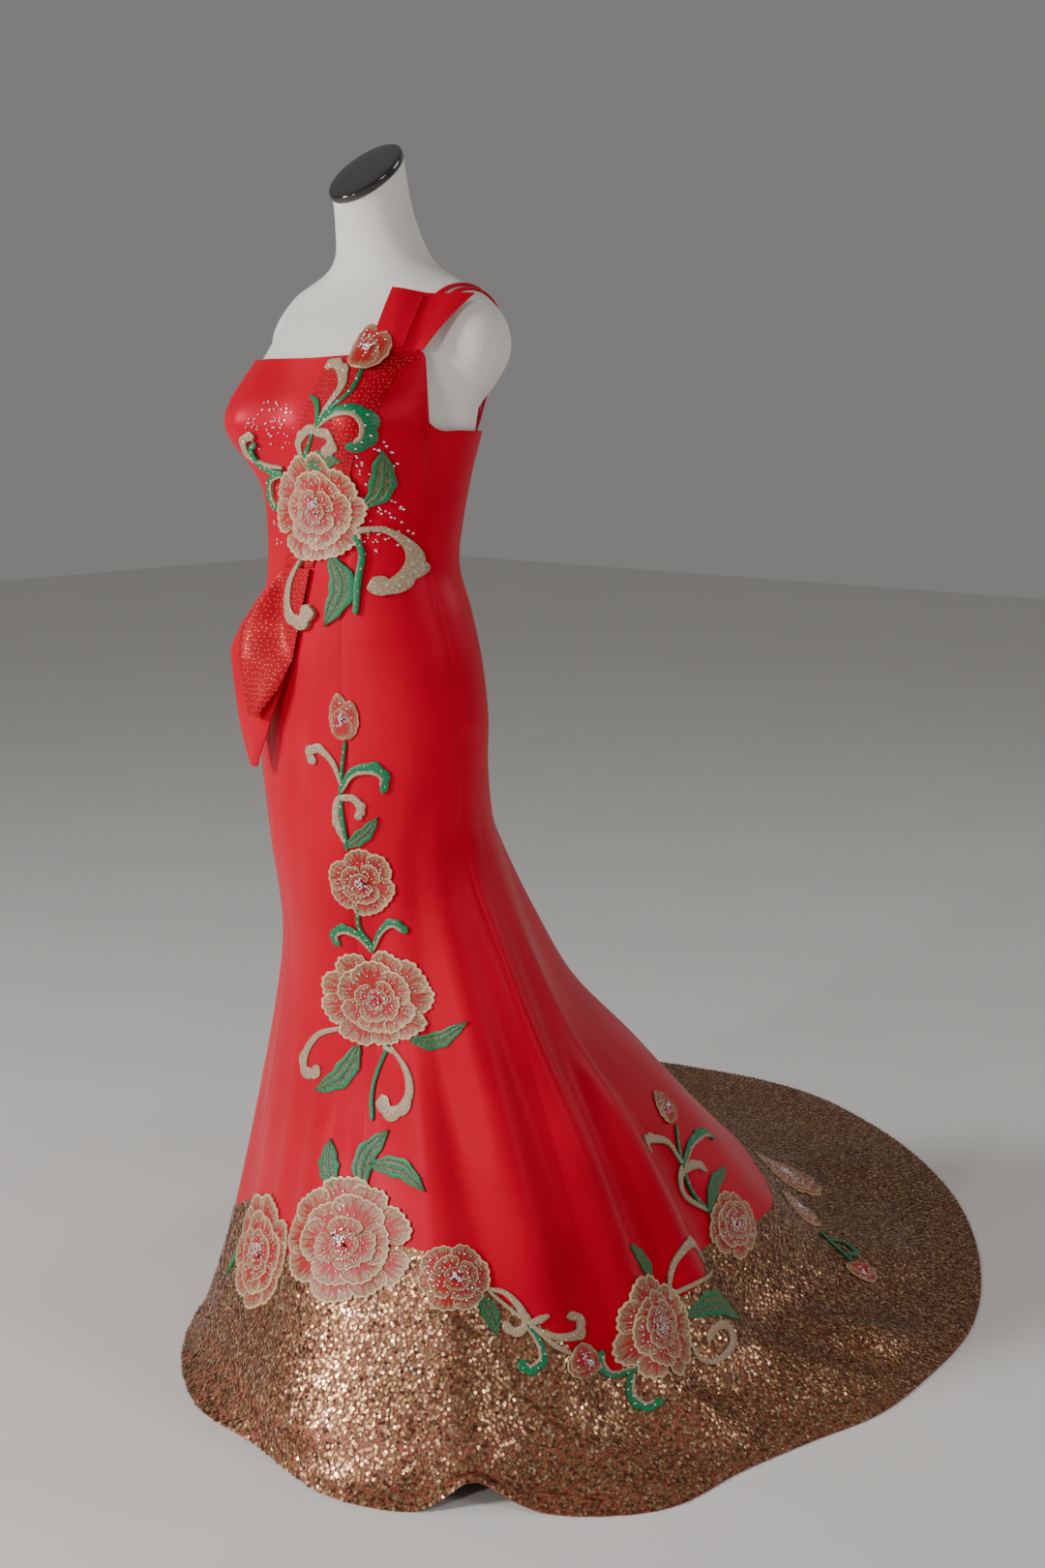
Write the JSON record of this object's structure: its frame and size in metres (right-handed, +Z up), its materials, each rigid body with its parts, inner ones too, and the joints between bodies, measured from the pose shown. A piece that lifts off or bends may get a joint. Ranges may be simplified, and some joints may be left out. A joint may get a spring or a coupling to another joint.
{
  "type": "one-shoulder mermaid wedding gown on a dress form",
  "caption": "Red one-shoulder mermaid gown with a long sequinned train, embroidered peony patches and a shoulder flap, on an armless dress form with a cross-bar stand.",
  "frame": {"origin": "centre of the underside of the stand's cross of bars, on the floor under the form's axis", "axes": "+Z up, -Y the gown's front, +X the wearer's left, where the shoulder flap is; the train lies along +Y"},
  "size_m": [1.2291, 1.4944, 1.4738],
  "materials": {
    "satin": "bright red duchess satin with a soft sheen",
    "dotted_satin": "red satin with tiny gold dots",
    "sequins": "dense gold-brown sequins on red net",
    "gold_embroidery": "champagne satin stitch with crystals",
    "green_embroidery": "green satin stitch with brown net",
    "form_cover": "off-white cotton cover",
    "cap_gloss": "glossy black",
    "stand_metal": "brushed steel"
  },
  "bodies": {
    "root": {"front_centre_panel": "satin", "front_left_panel": "satin", "back_side_left_panel": "satin", "back_left_panel": "satin", "back_right_panel": "satin", "back_side_right_panel": "satin", "front_right_panel": "satin", "hem_band_front": "sequins", "hem_band_left": "sequins", "hem_band_right": "sequins", "sash": "dotted_satin", "sash_tail_plain": "satin", "sash_tail_dotted": "dotted_satin", "shoulder_flap": "satin", "shoulder_fold": "satin", "bodice_peony": "gold_embroidery", "bodice_bud": "gold_embroidery", "skirt_bud": "gold_embroidery", "skirt_peony_small": "gold_embroidery", "skirt_low_peony": "gold_embroidery", "hem_peony_front": "gold_embroidery", "hem_right_peony": "gold_embroidery", "hem_left_peony": "gold_embroidery", "hem_left_bud": "gold_embroidery", "side_peony": "gold_embroidery", "side_up_peony": "gold_embroidery", "side_up_bud": "gold_embroidery", "train_peony": "gold_embroidery", "train_side_peony": "gold_embroidery", "train_end_bud": "gold_embroidery", "bodice_vine": "green_embroidery", "bodice_leaf_right": "green_embroidery", "bodice_curl_left": "green_embroidery", "bodice_scroll_right": "gold_embroidery", "bodice_leaf_low": "green_embroidery", "bodice_scroll_left": "gold_embroidery", "skirt_vine": "green_embroidery", "skirt_curls": "green_embroidery", "skirt_low_leaf_right": "green_embroidery", "skirt_low_scroll_left": "gold_embroidery", "skirt_low_leaf_left": "green_embroidery", "skirt_low_scroll_right": "gold_embroidery", "hem_leaf_front": "green_embroidery", "hem_leaves_front": "green_embroidery", "hem_left_leaf": "green_embroidery", "hem_left_vine": "gold_embroidery", "side_leaf_up": "green_embroidery", "side_scroll": "gold_embroidery", "side_leaf_right": "green_embroidery", "side_spiral": "gold_embroidery", "side_curls": "green_embroidery", "side_up_vine": "green_embroidery", "train_end_vine": "green_embroidery", "dress_form": "form_cover", "strap_outer": "satin", "strap_inner": "satin", "neck_cap": "cap_gloss", "stand_pole": "stand_metal", "stand_base": "stand_metal"}
  },
  "joints": []
}
